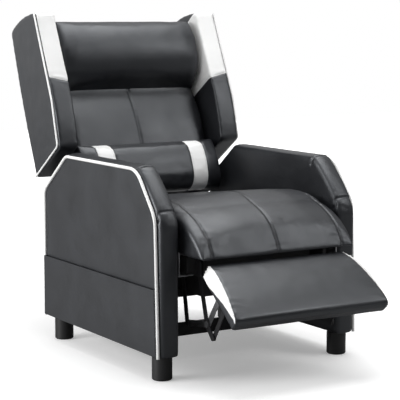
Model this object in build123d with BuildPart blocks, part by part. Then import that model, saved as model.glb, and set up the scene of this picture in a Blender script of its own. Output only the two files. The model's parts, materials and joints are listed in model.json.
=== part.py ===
from build123d import *
import os
from math import atan2, cos, degrees, hypot, radians, sin, tan

# Gaming recliner: two arms on legs carry a seat, a linked footrest and a tilting back.
# The chair faces -Y. Side views are drawn from the front face of the arms rearward
# and from the floor upward. Right and left are the sitter's, so right is -X.

os.makedirs("parts", exist_ok=True)
SIDES = {"right": -1, "left": 1}

# Fits between pieces
SEAT_FIT = 0.3
PIN_FIT = 0.05
OVERRUN = 5.0

# Main sizes of the chair
ARM_FRONT_Y = -357.8
ARM_INNER_X = 273.0
ARM_THICKNESS = 62.0
ARM_DEPTH = 722.0
ARM_TOP_Z = 592.0
LEG_HEIGHT = 66.0
LEG_PLATE_THICKNESS = 3.0
ARM_UNDERSIDE_Z = LEG_HEIGHT + LEG_PLATE_THICKNESS
ARM_OUTER_X = ARM_INNER_X + ARM_THICKNESS

# Legs
LEG_DIAMETER = 58.0
LEG_FOOT_CHAMFER = 3.0
LEG_FRONT_INSET = 44.0
LEG_REAR_INSET = 62.0
LEG_PLATE_DIAMETER = 50.0
LEG_STUD_RADIUS = 4.0
LEG_STUD_LENGTH = 24.0
LEG_SIDE_INSET = 1.0
LEG_X = ARM_OUTER_X - LEG_DIAMETER / 2 - LEG_SIDE_INSET

# Arm covers: front panel, sloped front pad and top pad
COVER_THICKNESS = 16.0
LOWER_SEAM_Y = 17.0
LOWER_SEAM_Z = 476.0
FRONT_BEND_Z = 425.0
FRONT_BEND_SHARE = 0.3
UPPER_SEAM_Y = 129.0
FRONT_PAD_CROWN = 5.0
REAR_CHAMFER_DEPTH = 153.0
REAR_CHAMFER_DROP = 118.0
COVER_ROUND = 8.0

# Arm side panel, pocket and piping
SIDE_PANEL_THICKNESS = 3.0
PIPING_RADIUS = 4.5
PIPING_FOOT_SETBACK = 6.0
PIPING_KNEE_SETBACK = 20.0
PIPING_KNEE_Z = 462.0
PIPING_SHOULDER_Y = 123.0
PIPING_KNEE_ROUND = 90.0
PIPING_SHOULDER_ROUND = 80.0
PIPING_CHAMFER_ROUND = 40.0
POCKET_LINE_Z = 262.0
POCKET_WALL = 2.5
POCKET_ROOM = 10.0
POCKET_HEM = 4.0

# Base rails
RAIL_THICKNESS = 20.0
FRONT_CROSS_RAIL_Y = 140.0
FRONT_CROSS_RAIL_Z = 91.0
FRONT_CROSS_RAIL_HEIGHT = 37.0
REAR_CROSS_RAIL_INSET = 62.0
REAR_CROSS_RAIL_HEIGHT = 100.0
BOARD_ROUND = 2.0
SIDE_RAIL_FRONT_Y = 15.0
SIDE_RAIL_REAR_Y = 640.0
SIDE_RAIL_HEIGHT = 50.0
SIDE_RAIL_THICKNESS = 28.0
ARM_BRACKET_WIDTH = 33.0
ARM_BRACKET_LENGTH = 55.0
ARM_BRACKET_HEIGHT = 66.0
ARM_BRACKET_INSET = 5.0
SHEET = 3.0

# Seat box, springs and cushion
SEAT_RAIL_TOP_Z = 346.7
SEAT_BOX_FRONT_Y = 20.0
SEAT_BOX_REAR_Y = 625.0
SEAT_BOX_HEIGHT = 120.0
SEAT_BOARD = 18.0
SEAT_BOX_CLEARANCE = 7.3
SEAT_BRACKET_LENGTH = 40.0
SEAT_BRACKET_FRONT_Y = 230.0
SEAT_BRACKET_REAR_Y = 540.0
SPRING_WIRE_RADIUS = 1.8
SPRING_WIRE_FACES = 6
SPRING_HALF_WIDTH = 24.0
SPRING_BEND = 13.0
SPRING_DROP = 6.0
SPRING_PITCH = 95.0
SPRING_SPACING = 84.0
SPRING_COUNT = 4
SEAT_SIDE_GAP = 6.0
SEAT_NOSE_OVERHANG = 101.0
SEAT_REAR_Y = 625.0
SEAT_CROWN_HEIGHT = 146.0
SEAT_EDGE_SHARE = 0.2

# Footrest linkage: layers of 3 mm links side by side, and the places of the pivots at rest
LINK_GAP = 2.0
LINK_RADIUS = 9.0
LINK_WAIST = 7.5
PIVOT_RADIUS = 4.0
RIVET_HEAD_RADIUS = 6.5
COLLAR_RADIUS = 7.0
OPEN_PIN_RADIUS = 3.0
SLIDE_PLAY = 4.0
CONTROL_PLAY = 1.8
SLIDE_EYE_RADIUS = 10.5
SLIDE_HEAD_RADIUS = 9.0
REAR_PIVOT_Y = 98.0
REAR_PIVOT_Z = 305.0
FRONT_PIVOT_Y = 7.0
FRONT_PIVOT_Z = 309.0
REAR_KNEE_Y = 71.0
REAR_KNEE_Z = 145.0
FRONT_KNEE_Y = -35.0
FRONT_KNEE_Z = 160.0
FRONT_TOE_Y = -64.0
FRONT_TOE_Z = 127.0
BRACKET_PIVOT_Y = -118.0
BRACKET_PIVOT_Z = 281.0
CONTROL_PIVOT_Y = -145.0
CONTROL_PIVOT_Z = 258.0

# Mechanism side plate
PLATE_FRONT_Y = -12.0
PLATE_REAR_Y = 640.0
PLATE_LOWER_Z = 290.0
PLATE_HEIGHT = 46.0
PLATE_EAR_RADIUS = 16.0
PLATE_EAR_FOOT_Y = 620.0
PLATE_SLOT_LENGTH = 90.0
PLATE_SLOT_WIDTH = 14.0
BOLT_RADIUS = 3.0
BOLT_HEAD_RADIUS = 6.0
BOLT_HEAD_THICKNESS = 2.4
BOLT_LENGTH = 22.0
BOLT_HEAD_SIDES = 6
BOLT_ROW_SHARES = (0.22, 0.5, 0.78)
HINGE_PIN_RADIUS = 8.0
HINGE_COLLAR_RADIUS = 11.5
HINGE_HEAD_RADIUS = 13.0
HINGE_BOLT_SHARES = (0.55, 0.9)

# Footrest: its back face starts at its top edge and runs down and forward
FOOTREST_TOP_Y = -84.0
FOOTREST_TOP_Z = 329.0
FOOTREST_ANGLE = 42.3
FOOTREST_LENGTH = 214.0
FOOTREST_LIP = 7.0
FOOTREST_THICKNESS = 42.0
FOOTREST_TOP_HALF_WIDTH = 268.0
FOOTREST_FOOT_HALF_WIDTH = 258.0
FOOTREST_BOARD_THICKNESS = 12.0
FOOTREST_BOARD_START = 28.0
FOOTREST_BOARD_END = 192.0
FOOTREST_BOARD_HALF_WIDTH = 222.0
FOOTREST_EDGE_SHARE = 0.12
GUSSET_REACH = 37.0
GUSSET_DEPTH = 24.0
GUSSET_SKIN = 3.0
BRACKET_FOOT = 24.0
BRACKET_START = 34.0
BRACKET_END = 186.0

# Back: its own frame starts at the hinge, runs up the back and forward from it
HINGE_Y = 690.0
HINGE_Z = 400.0
BACK_LEAN = 20.0
BACK_LENGTH = 612.0
POST_WIDTH = 40.0
POST_DEPTH = 20.0
POST_REAR = 66.0
POST_FOOT = 40.0
BACK_RAIL_HEIGHT = 60.0
LOWER_BACK_RAIL_FOOT = 70.0
HINGE_PLATE_LENGTH = 190.0
REAR_COVER_THICKNESS = 3.7
BACK_CUSHION_FOOT = 32.0
BACK_CUSHION_FRONT = 57.0
BACK_EDGE_SHARE = 0.1
HEAD_CUSHION_FOOT = 377.0
HEAD_CUSHION_SEAT = 30.0
HEAD_CUSHION_FRONT = 119.0
HEAD_SIDE_GAP = 5.0
HEAD_EDGE_SHARE = 0.22
LUMBAR_FOOT = 28.0
LUMBAR_HEAD = 195.0
LUMBAR_FRONT = 124.0
LUMBAR_EDGE_SHARE = 0.3

# Wings
WING_INNER_X = 263.0
WING_THICKNESS = 67.0
WING_REAR = 82.0
WING_FRONT = 144.0
WING_KINK = 178.0
WING_KINK_FRONT = 131.0
WING_HEEL = 127.0
WING_HEEL_REAR = 67.0
WING_TOP = 617.0
WING_TOP_FRONT = 123.0
WING_RIDGE = 638.0
WING_RIDGE_FRONT = 14.0
WING_TOP_REAR = 79.0
WING_TOP_REAR_HEIGHT = 625.0
WING_WAIST_SHARE = 0.3
WING_CHEST_SHARE = 0.6
WING_CHEST_FRONT_SHARE = 0.94
WING_LIP_FRONT_SHARE = 0.9
WING_LIP_HEIGHT_SHARE = 0.96
FACING_FOOT = 402.0
FACING_DEPTH = 24.0
WING_PIPING_RADIUS = 3.0

# Stuffed pieces: fullness lost across the width, then each side profile as places along the
# piece with the thickness reached there, all as shares
CROSS_STATION_SHARES = ((1.0, 1.0), (0.985, 0.66), (0.94, 0.42), (0.83, 0.3), (0.5, 0.1), (0.0, 0.0))
SEAT_PROFILE_SHARES = (
    (0.0, 0.04),
    (0.075, 0.52),
    (0.2, 0.845),
    (0.31, 1.0),
    (0.43, 0.94),
    (0.7, 0.78),
    (1.0, 0.575),
)
LEAST_CORNER_SHARE = 0.04
FOOTREST_PROFILE_SHARES = (
    (0.0, 0.1),
    (0.14, 0.45),
    (0.4, 0.8),
    (0.66, 0.98),
    (0.92, 0.97),
    (0.985, 0.8),
    (1.0, 0.3),
)
BACK_PROFILE_SHARES = (
    (0.0, 0.74),
    (0.02, 0.9),
    (0.06, 1.0),
    (0.19, 1.001),
    (0.33, 1.0),
    (0.47, 0.9),
    (0.59, 0.67),
    (0.8, 0.669),
    (1.0, 0.66),
)
HEAD_PROFILE_SHARES = (
    (0.0, 0.1),
    (0.26, 0.8),
    (0.48, 1.0),
    (0.72, 0.99),
    (0.92, 0.8),
    (0.98, 0.68),
    (1.0, 0.5),
)
LUMBAR_PROFILE_SHARES = (
    (0.0, 0.35),
    (0.1, 0.78),
    (0.36, 1.0),
    (0.64, 0.97),
    (0.88, 0.78),
    (0.97, 0.6),
    (1.0, 0.3),
)

# Layers of the mechanism across the chair, from the arm inward
SIDE_RAIL_OUTER_X = ARM_INNER_X - ARM_BRACKET_WIDTH
SIDE_RAIL_INNER_X = SIDE_RAIL_OUTER_X - SIDE_RAIL_THICKNESS
PLATE_X = SIDE_RAIL_INNER_X - SHEET
LAYER_PITCH = SHEET + LINK_GAP
SWING_LINK_X = PLATE_X - LAYER_PITCH
CROSS_LINK_X = SWING_LINK_X - LAYER_PITCH
BRACKET_X = CROSS_LINK_X - LAYER_PITCH
HEAD_THICKNESS = LINK_GAP - 2 * SEAT_FIT
SEAT_BOX_X = BRACKET_X - HEAD_THICKNESS - SEAT_FIT - SEAT_BOX_CLEARANCE
HINGE_PLATE_X = PLATE_X - LINK_GAP - SHEET
SIDE_RAIL_LOWER_Z = SEAT_RAIL_TOP_Z - SIDE_RAIL_HEIGHT

REAR_PIVOT = (REAR_PIVOT_Y, REAR_PIVOT_Z)
FRONT_PIVOT = (FRONT_PIVOT_Y, FRONT_PIVOT_Z)
REAR_KNEE = (REAR_KNEE_Y, REAR_KNEE_Z)
FRONT_KNEE = (FRONT_KNEE_Y, FRONT_KNEE_Z)
FRONT_TOE = (FRONT_TOE_Y, FRONT_TOE_Z)
BRACKET_PIVOT = (BRACKET_PIVOT_Y, BRACKET_PIVOT_Z)
CONTROL_PIVOT = (CONTROL_PIVOT_Y, CONTROL_PIVOT_Z)
HINGE = (HINGE_Y, HINGE_Z)


def save(piece, name):
    piece.part.label = name
    export_step(piece.part, f"parts/{name}.step")


def side_view(x):
    """Plane seen from the side: first axis rearward from the arm front, second axis up."""
    return Plane((x, ARM_FRONT_Y, 0), x_dir=(0, 1, 0), z_dir=(1, 0, 0))


def front_view(y):
    """Plane seen from the front at a distance behind the arm front: first axis +X, second up."""
    return Plane((0, ARM_FRONT_Y + y, 0), x_dir=(1, 0, 0), z_dir=(0, -1, 0))


def footrest_section(along):
    """Section across the footrest: first axis +X, second axis out of its front face."""
    fall = radians(FOOTREST_ANGLE)
    origin = (0, ARM_FRONT_Y + FOOTREST_TOP_Y - along * cos(fall), FOOTREST_TOP_Z - along * sin(fall))
    return Plane(origin, x_dir=(1, 0, 0), z_dir=(0, -cos(fall), -sin(fall)))


def footrest_side(x):
    """Side view of the footrest: first axis down its length, second axis behind its back face."""
    fall = radians(FOOTREST_ANGLE)
    origin = (x, ARM_FRONT_Y + FOOTREST_TOP_Y, FOOTREST_TOP_Z)
    return Plane(origin, x_dir=(0, -cos(fall), -sin(fall)), z_dir=(1, 0, 0))


def footrest_profile(x):
    """Side view of the footrest: first axis down its length, second axis out of its front face."""
    fall = radians(FOOTREST_ANGLE)
    origin = (x, ARM_FRONT_Y + FOOTREST_TOP_Y, FOOTREST_TOP_Z)
    return Plane(origin, x_dir=(0, -cos(fall), -sin(fall)), z_dir=(-1, 0, 0))


def on_footrest(place):
    """A place in side view, as distance down the footrest and distance behind its back face."""
    fall = radians(FOOTREST_ANGLE)
    rearward = place[0] - FOOTREST_TOP_Y
    upward = place[1] - FOOTREST_TOP_Z
    return (-rearward * cos(fall) - upward * sin(fall), rearward * sin(fall) - upward * cos(fall))


def back_side(x):
    """Side view of the back: first axis rearward from the hinge, second axis up the back."""
    lean = radians(BACK_LEAN)
    return Plane((x, ARM_FRONT_Y + HINGE_Y, HINGE_Z), x_dir=(0, cos(lean), -sin(lean)), z_dir=(1, 0, 0))


def back_profile(x):
    """Side view of the back: first axis up the back, second axis forward out of it."""
    lean = radians(BACK_LEAN)
    return Plane((x, ARM_FRONT_Y + HINGE_Y, HINGE_Z), x_dir=(0, sin(lean), cos(lean)), z_dir=(1, 0, 0))


def back_face(forward):
    """Plane along the back, a distance in front of the hinge: first axis +X, second up the back."""
    lean = radians(BACK_LEAN)
    origin = (0, ARM_FRONT_Y + HINGE_Y - forward * cos(lean), HINGE_Z + forward * sin(lean))
    return Plane(origin, x_dir=(1, 0, 0), z_dir=(0, -cos(lean), sin(lean)))


def bar_outline(places, radius):
    """Outline of a flat link: rounded bars joined from place to place."""
    for start, end in zip(places, places[1:]):
        run = (end[0] - start[0], end[1] - start[1])
        with Locations(((start[0] + end[0]) / 2, (start[1] + end[1]) / 2)):
            SlotCenterToCenter(hypot(*run), 2 * radius, rotation=degrees(atan2(run[1], run[0])))


def board(side, x_inner, x_outer, y_front, y_rear, z_lower, z_upper, rounding=BOARD_ROUND):
    """A wooden board with eased long edges, on one side of the chair."""
    with BuildPart() as piece:
        with BuildSketch(side_view(side * x_inner)):
            with Locations(((y_front + y_rear) / 2, (z_lower + z_upper) / 2)):
                RectangleRounded(y_rear - y_front, z_upper - z_lower, rounding)
        extrude(amount=side * (x_outer - x_inner))
    return piece


def cross_board(half_length, y_front, y_rear, z_lower, z_upper):
    """A board that runs across the chair."""
    return board(1, -half_length, half_length, y_front, y_rear, z_lower, z_upper)


def stuffed_piece(view, start, length, base, thickness, half_width, edge_share, profile_shares):
    """A cushion lofted across the chair, fullest in the middle and drawn in at both sides."""
    stations = [(-across, loss) for across, loss in CROSS_STATION_SHARES]
    stations += [(across, loss) for across, loss in CROSS_STATION_SHARES[-2::-1]]
    with BuildPart() as piece:
        for across, loss in stations:
            fullness = thickness * (1 - loss * edge_share)
            places = [(start + length * along, base + fullness * depth) for along, depth in profile_shares]
            with BuildSketch(view(half_width * across)):
                with BuildLine():
                    for first, middle, last in zip(places[::2], places[1::2], places[2::2]):
                        ThreePointArc(first, middle, last)
                    Polyline(places[-1], (start + length, base), (start, base), places[0])
                make_face()
        loft(ruled=True)
    return piece


# Arms
def arm_slope():
    return atan2(ARM_TOP_Z - LOWER_SEAM_Z, UPPER_SEAM_Y - LOWER_SEAM_Y)


def lower_mitre():
    """Inner corner between the front panel and the sloped pad."""
    rise = (COVER_THICKNESS - LOWER_SEAM_Y) * tan(arm_slope())
    return (COVER_THICKNESS, LOWER_SEAM_Z + rise - COVER_THICKNESS / cos(arm_slope()))


def upper_mitre():
    """Inner corner between the sloped pad and the top pad."""
    height = ARM_TOP_Z - COVER_THICKNESS - LOWER_SEAM_Z + COVER_THICKNESS / cos(arm_slope())
    return (LOWER_SEAM_Y + height / tan(arm_slope()), ARM_TOP_Z - COVER_THICKNESS)


def chamfer_y(z):
    """Place of the sloping rear corner at a height."""
    return ARM_DEPTH - REAR_CHAMFER_DEPTH + (ARM_TOP_Z - z) * REAR_CHAMFER_DEPTH / REAR_CHAMFER_DROP


def leg_places():
    front = (LEG_FRONT_INSET, "front")
    rear = (ARM_DEPTH - LEG_REAR_INSET, "rear")
    return [(place, end, word, side) for place, end in (front, rear) for word, side in SIDES.items()]


def leg(side, y):
    with BuildPart() as piece:
        with Locations((side * LEG_X, ARM_FRONT_Y + y, 0)):
            Cylinder(LEG_DIAMETER / 2, LEG_HEIGHT, align=(Align.CENTER, Align.CENTER, Align.MIN))
        chamfer(piece.edges().group_by(Axis.Z)[0], length=LEG_FOOT_CHAMFER)
        with Locations((side * LEG_X, ARM_FRONT_Y + y, LEG_HEIGHT)):
            Cylinder(LEG_STUD_RADIUS, LEG_STUD_LENGTH, align=(Align.CENTER, Align.CENTER, Align.MIN))
    return piece


def leg_plates():
    with BuildPart() as piece:
        with BuildSketch(Plane.XY.offset(LEG_HEIGHT)):
            for y, end, word, side in leg_places():
                with Locations((side * LEG_X, ARM_FRONT_Y + y)):
                    Circle(LEG_PLATE_DIAMETER / 2)
                    Circle(LEG_STUD_RADIUS + PIN_FIT, mode=Mode.SUBTRACT)
        extrude(amount=LEG_PLATE_THICKNESS)
    return piece


def arm_core(side):
    with BuildPart() as piece:
        with BuildSketch(side_view(side * ARM_INNER_X)):
            with BuildLine():
                Polyline(
                    (COVER_THICKNESS, ARM_UNDERSIDE_Z),
                    lower_mitre(),
                    upper_mitre(),
                    (chamfer_y(ARM_TOP_Z - COVER_THICKNESS), ARM_TOP_Z - COVER_THICKNESS),
                    (ARM_DEPTH, ARM_TOP_Z - REAR_CHAMFER_DROP),
                    (ARM_DEPTH, ARM_UNDERSIDE_Z),
                    close=True,
                )
            make_face()
        extrude(amount=side * ARM_THICKNESS)
        rear_edges = piece.edges().filter_by(Axis.Z).group_by(Axis.Y)[-1]
        fillet(rear_edges, radius=COVER_ROUND)
        stud_room = LEG_STUD_LENGTH - LEG_PLATE_THICKNESS + PIN_FIT
        with BuildSketch(Plane.XY.offset(ARM_UNDERSIDE_Z)):
            for y in (LEG_FRONT_INSET, ARM_DEPTH - LEG_REAR_INSET):
                with Locations((side * LEG_X, ARM_FRONT_Y + y)):
                    Circle(LEG_STUD_RADIUS + PIN_FIT)
        extrude(amount=stud_room, mode=Mode.SUBTRACT)
    return piece


def arm_top_pad(side):
    with BuildPart() as piece:
        with BuildSketch(side_view(side * ARM_INNER_X)):
            with BuildLine():
                Polyline(
                    upper_mitre(),
                    (UPPER_SEAM_Y, ARM_TOP_Z),
                    (chamfer_y(ARM_TOP_Z), ARM_TOP_Z),
                    (chamfer_y(ARM_TOP_Z - COVER_THICKNESS), ARM_TOP_Z - COVER_THICKNESS),
                    close=True,
                )
            make_face()
        extrude(amount=side * ARM_THICKNESS)
        fillet(piece.edges().filter_by(Axis.Y).group_by(Axis.Z)[-1], radius=COVER_ROUND)
    return piece


def arm_front_pad(side):
    lower_seam = (LOWER_SEAM_Y, LOWER_SEAM_Z)
    upper_seam = (UPPER_SEAM_Y, ARM_TOP_Z)
    middle_y = (LOWER_SEAM_Y + UPPER_SEAM_Y) / 2 - FRONT_PAD_CROWN * sin(arm_slope())
    middle_z = (LOWER_SEAM_Z + ARM_TOP_Z) / 2 + FRONT_PAD_CROWN * cos(arm_slope())
    with BuildPart() as piece:
        with BuildSketch(side_view(side * ARM_INNER_X)):
            with BuildLine():
                ThreePointArc(lower_seam, (middle_y, middle_z), upper_seam)
                Polyline(upper_seam, upper_mitre(), lower_mitre(), lower_seam)
            make_face()
        extrude(amount=side * ARM_THICKNESS)
        fillet(piece.edges().filter_by(GeomType.CIRCLE), radius=COVER_ROUND)
    return piece


def arm_front_panel(side):
    bend_y = LOWER_SEAM_Y * FRONT_BEND_SHARE
    bend_z = (FRONT_BEND_Z + LOWER_SEAM_Z) / 2
    with BuildPart() as piece:
        with BuildSketch(side_view(side * ARM_INNER_X)):
            with BuildLine():
                Polyline((COVER_THICKNESS, ARM_UNDERSIDE_Z), (0, ARM_UNDERSIDE_Z), (0, FRONT_BEND_Z))
                ThreePointArc((0, FRONT_BEND_Z), (bend_y, bend_z), (LOWER_SEAM_Y, LOWER_SEAM_Z))
                Polyline((LOWER_SEAM_Y, LOWER_SEAM_Z), lower_mitre(), (COVER_THICKNESS, ARM_UNDERSIDE_Z))
            make_face()
        extrude(amount=side * ARM_THICKNESS)
        fillet(piece.edges().filter_by(Axis.Z).group_by(Axis.Y)[0], radius=COVER_ROUND)
    return piece


def piping_route():
    """Route of the piping up the front, over the top and down the rear of the arm's outer face."""
    rear_y = ARM_DEPTH - PIPING_RADIUS
    top_z = ARM_TOP_Z - PIPING_RADIUS
    corner_drop = PIPING_RADIUS * REAR_CHAMFER_DROP / REAR_CHAMFER_DEPTH
    FilletPolyline(
        (PIPING_FOOT_SETBACK, ARM_UNDERSIDE_Z),
        (PIPING_KNEE_SETBACK, PIPING_KNEE_Z),
        (PIPING_SHOULDER_Y, top_z),
        (chamfer_y(ARM_TOP_Z) - PIPING_RADIUS, top_z),
        (rear_y, ARM_TOP_Z - REAR_CHAMFER_DROP - corner_drop),
        (rear_y, ARM_UNDERSIDE_Z),
        radius=[PIPING_KNEE_ROUND, PIPING_SHOULDER_ROUND, PIPING_CHAMFER_ROUND, PIPING_CHAMFER_ROUND],
    )


def panel_outline(inset):
    """Outline of the side panel inside the piping, drawn in by an inset."""
    with BuildSketch() as outline:
        with BuildLine():
            piping_route()
            Line((ARM_DEPTH - PIPING_RADIUS, ARM_UNDERSIDE_Z), (PIPING_FOOT_SETBACK, ARM_UNDERSIDE_Z))
        make_face()
        offset(amount=-PIPING_RADIUS - inset, mode=Mode.REPLACE)
    return outline.sketch


def keep_lower():
    """Leave only what lies below the pocket line."""
    with Locations((ARM_DEPTH / 2, POCKET_LINE_Z)):
        Rectangle(2 * ARM_DEPTH, ARM_TOP_Z, align=(Align.CENTER, Align.MIN), mode=Mode.SUBTRACT)


def arm_side_panel(side):
    with BuildPart() as piece:
        with BuildSketch(side_view(side * ARM_OUTER_X)):
            add(panel_outline(SEAT_FIT))
            with Locations((ARM_DEPTH / 2, POCKET_LINE_Z)):
                Rectangle(2 * ARM_DEPTH, ARM_TOP_Z, align=(Align.CENTER, Align.MAX), mode=Mode.SUBTRACT)
        extrude(amount=side * SIDE_PANEL_THICKNESS)
    return piece


def arm_pocket(side):
    with BuildPart() as piece:
        with BuildSketch(side_view(side * ARM_OUTER_X)):
            add(panel_outline(SEAT_FIT))
            keep_lower()
        extrude(amount=side * (POCKET_ROOM + POCKET_WALL))
        with BuildSketch(side_view(side * ARM_OUTER_X)):
            add(panel_outline(SEAT_FIT + POCKET_HEM))
            with Locations((ARM_DEPTH / 2, POCKET_LINE_Z - POCKET_HEM)):
                Rectangle(2 * ARM_DEPTH, ARM_TOP_Z, align=(Align.CENTER, Align.MIN), mode=Mode.SUBTRACT)
        extrude(amount=side * POCKET_ROOM, mode=Mode.SUBTRACT)
        hollow_front = PIPING_KNEE_SETBACK + PIPING_RADIUS + SEAT_FIT + POCKET_HEM
        hollow_rear = ARM_DEPTH - 2 * PIPING_RADIUS - SEAT_FIT - POCKET_HEM
        with BuildSketch(side_view(side * ARM_OUTER_X)):
            with Locations(((hollow_front + hollow_rear) / 2, POCKET_LINE_Z)):
                Rectangle(hollow_rear - hollow_front, 4 * POCKET_HEM)
        extrude(amount=side * POCKET_ROOM, mode=Mode.SUBTRACT)
    return piece


def arm_piping():
    with BuildPart() as piece:
        for side in SIDES.values():
            plane = side_view(side * (ARM_OUTER_X + SEAT_FIT + PIPING_RADIUS))
            with BuildLine(plane) as route:
                piping_route()
            with BuildSketch(Plane(route.line @ 0, z_dir=route.line % 0)):
                Circle(PIPING_RADIUS)
            sweep(path=route.line)
    return piece


# Base rails and brackets
def arm_brackets():
    ends = (ARM_BRACKET_INSET, SIDE_RAIL_REAR_Y - ARM_BRACKET_LENGTH)
    reach = SIDE_RAIL_OUTER_X - SIDE_RAIL_THICKNESS / 2
    with BuildPart() as piece:
        for side in SIDES.values():
            for y in ends:
                with BuildSketch(front_view(y + ARM_BRACKET_LENGTH)):
                    with BuildLine():
                        Polyline(
                            (side * ARM_INNER_X, SIDE_RAIL_LOWER_Z - SHEET),
                            (side * ARM_INNER_X, SIDE_RAIL_LOWER_Z + ARM_BRACKET_HEIGHT),
                            (side * (ARM_INNER_X - SHEET), SIDE_RAIL_LOWER_Z + ARM_BRACKET_HEIGHT),
                            (side * (ARM_INNER_X - SHEET), SIDE_RAIL_LOWER_Z),
                            (side * reach, SIDE_RAIL_LOWER_Z),
                            (side * reach, SIDE_RAIL_LOWER_Z - SHEET),
                            close=True,
                        )
                    make_face()
                extrude(amount=ARM_BRACKET_LENGTH)
    return piece


def mechanism_plate(side):
    bolt_z = PLATE_LOWER_Z + PLATE_HEIGHT / 2
    middle_y = (PLATE_FRONT_Y + PLATE_REAR_Y) / 2
    with BuildPart() as piece:
        with BuildSketch(side_view(side * PLATE_X)):
            with Locations((middle_y, bolt_z)):
                RectangleRounded(PLATE_REAR_Y - PLATE_FRONT_Y, PLATE_HEIGHT, LINK_RADIUS)
            bar_outline([(PLATE_EAR_FOOT_Y, bolt_z), HINGE], PLATE_EAR_RADIUS)
            with Locations(*[(y, bolt_z) for y in bolt_rows()]):
                Circle(BOLT_RADIUS + PIN_FIT, mode=Mode.SUBTRACT)
            with Locations(*[(y + PLATE_SLOT_LENGTH, bolt_z) for y in bolt_rows()[:-1]]):
                SlotOverall(PLATE_SLOT_LENGTH, PLATE_SLOT_WIDTH, mode=Mode.SUBTRACT)
        extrude(amount=side * SHEET)
        swing_pivots = [REAR_PIVOT, FRONT_PIVOT]
        add(stud(side, swing_pivots, PLATE_X, PIVOT_RADIUS, COLLAR_RADIUS, RIVET_HEAD_RADIUS))
        add(stud(side, [HINGE], PLATE_X, HINGE_PIN_RADIUS, HINGE_COLLAR_RADIUS, HINGE_HEAD_RADIUS))
    return piece


def stud(side, places, x_face, radius, collar, head):
    """A shoulder rivet standing inward from a sheet: collar, shank and head for the next sheet."""
    layers = (
        (0, LINK_GAP - SEAT_FIT, collar),
        (0, LINK_GAP + SHEET + SEAT_FIT + HEAD_THICKNESS, radius),
        (LINK_GAP + SHEET + SEAT_FIT, LINK_GAP + SHEET + SEAT_FIT + HEAD_THICKNESS, head),
    )
    with BuildPart() as rivet:
        for start, end, size in layers:
            with BuildSketch(side_view(side * (x_face - start))):
                with Locations(*places):
                    Circle(size)
            extrude(amount=-side * (end - start))
    return rivet.part


def bolt_rows():
    reach = SIDE_RAIL_REAR_Y - SIDE_RAIL_FRONT_Y
    return [SIDE_RAIL_FRONT_Y + reach * share for share in BOLT_ROW_SHARES]


def mechanism_bolts():
    with BuildPart() as piece:
        for side in SIDES.values():
            places = [(y, PLATE_LOWER_Z + PLATE_HEIGHT / 2) for y in bolt_rows()]
            with BuildSketch(side_view(side * (PLATE_X - SEAT_FIT))):
                with Locations(*places):
                    Circle(BOLT_RADIUS)
            extrude(amount=side * BOLT_LENGTH)
            with BuildSketch(side_view(side * PLATE_X)):
                with Locations(*places):
                    RegularPolygon(BOLT_HEAD_RADIUS, BOLT_HEAD_SIDES)
            extrude(amount=-side * BOLT_HEAD_THICKNESS)
    return piece


def side_rail(side):
    places = [(y, PLATE_LOWER_Z + PLATE_HEIGHT / 2) for y in bolt_rows()]
    middle = ((SIDE_RAIL_FRONT_Y + SIDE_RAIL_REAR_Y) / 2, SEAT_RAIL_TOP_Z - SIDE_RAIL_HEIGHT / 2)
    with BuildPart() as piece:
        with BuildSketch(side_view(side * SIDE_RAIL_INNER_X)):
            with Locations(middle):
                RectangleRounded(SIDE_RAIL_REAR_Y - SIDE_RAIL_FRONT_Y, SIDE_RAIL_HEIGHT, BOARD_ROUND)
            with Locations(*places):
                Circle(BOLT_RADIUS + PIN_FIT, mode=Mode.SUBTRACT)
        extrude(amount=side * SIDE_RAIL_THICKNESS)
    return piece


# Seat
def seat_brackets():
    reach = PLATE_X - SEAT_BOX_X
    with BuildPart() as piece:
        for side in SIDES.values():
            for y in (SEAT_BRACKET_FRONT_Y, SEAT_BRACKET_REAR_Y):
                with BuildSketch(front_view(y + SEAT_BRACKET_LENGTH)):
                    with Locations((side * (SEAT_BOX_X + reach / 2), SIDE_RAIL_LOWER_Z)):
                        Rectangle(reach, SIDE_RAIL_HEIGHT / 2, align=(Align.CENTER, Align.MIN))
                    with Locations((side * (SEAT_BOX_X + reach / 2), SIDE_RAIL_LOWER_Z + SHEET)):
                        Rectangle(
                            reach - 2 * SHEET,
                            SIDE_RAIL_HEIGHT,
                            align=(Align.CENTER, Align.MIN),
                            mode=Mode.SUBTRACT,
                        )
                extrude(amount=SEAT_BRACKET_LENGTH)
    return piece


def seat_side_board(side):
    lower = SEAT_RAIL_TOP_Z - SEAT_BOX_HEIGHT
    inner_x = SEAT_BOX_X - SEAT_BOARD
    return board(side, inner_x, SEAT_BOX_X, SEAT_BOX_FRONT_Y, SEAT_BOX_REAR_Y, lower, SEAT_RAIL_TOP_Z)


def seat_end_board(y_front):
    lower = SEAT_RAIL_TOP_Z - SEAT_BOX_HEIGHT
    return cross_board(SEAT_BOX_X - SEAT_BOARD, y_front, y_front + SEAT_BOARD, lower, SEAT_RAIL_TOP_Z)


def spring_route(x):
    """Sinuous wire between the end boards: straight tails and even side-to-side bends."""
    start = SEAT_BOX_FRONT_Y + SEAT_BOARD + SEAT_FIT
    end = SEAT_BOX_REAR_Y - SEAT_BOARD - SEAT_FIT
    bends = int((end - start) / SPRING_PITCH) * 2 - 1
    step = (end - start) / (bends + 3)
    places = [(x, ARM_FRONT_Y + start), (x, ARM_FRONT_Y + start + step)]
    for bend in range(bends):
        reach = SPRING_HALF_WIDTH if bend % 2 else -SPRING_HALF_WIDTH
        turn_y = ARM_FRONT_Y + start + step * (bend + 1)
        places[-1] = (places[-1][0], turn_y)
        places += [(x + reach, turn_y), (x + reach, turn_y + step)]
    places[-1] = (x + reach, ARM_FRONT_Y + start + step * (bends + 1))
    places += [(x, ARM_FRONT_Y + start + step * (bends + 1)), (x, ARM_FRONT_Y + end)]
    return places


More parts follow.
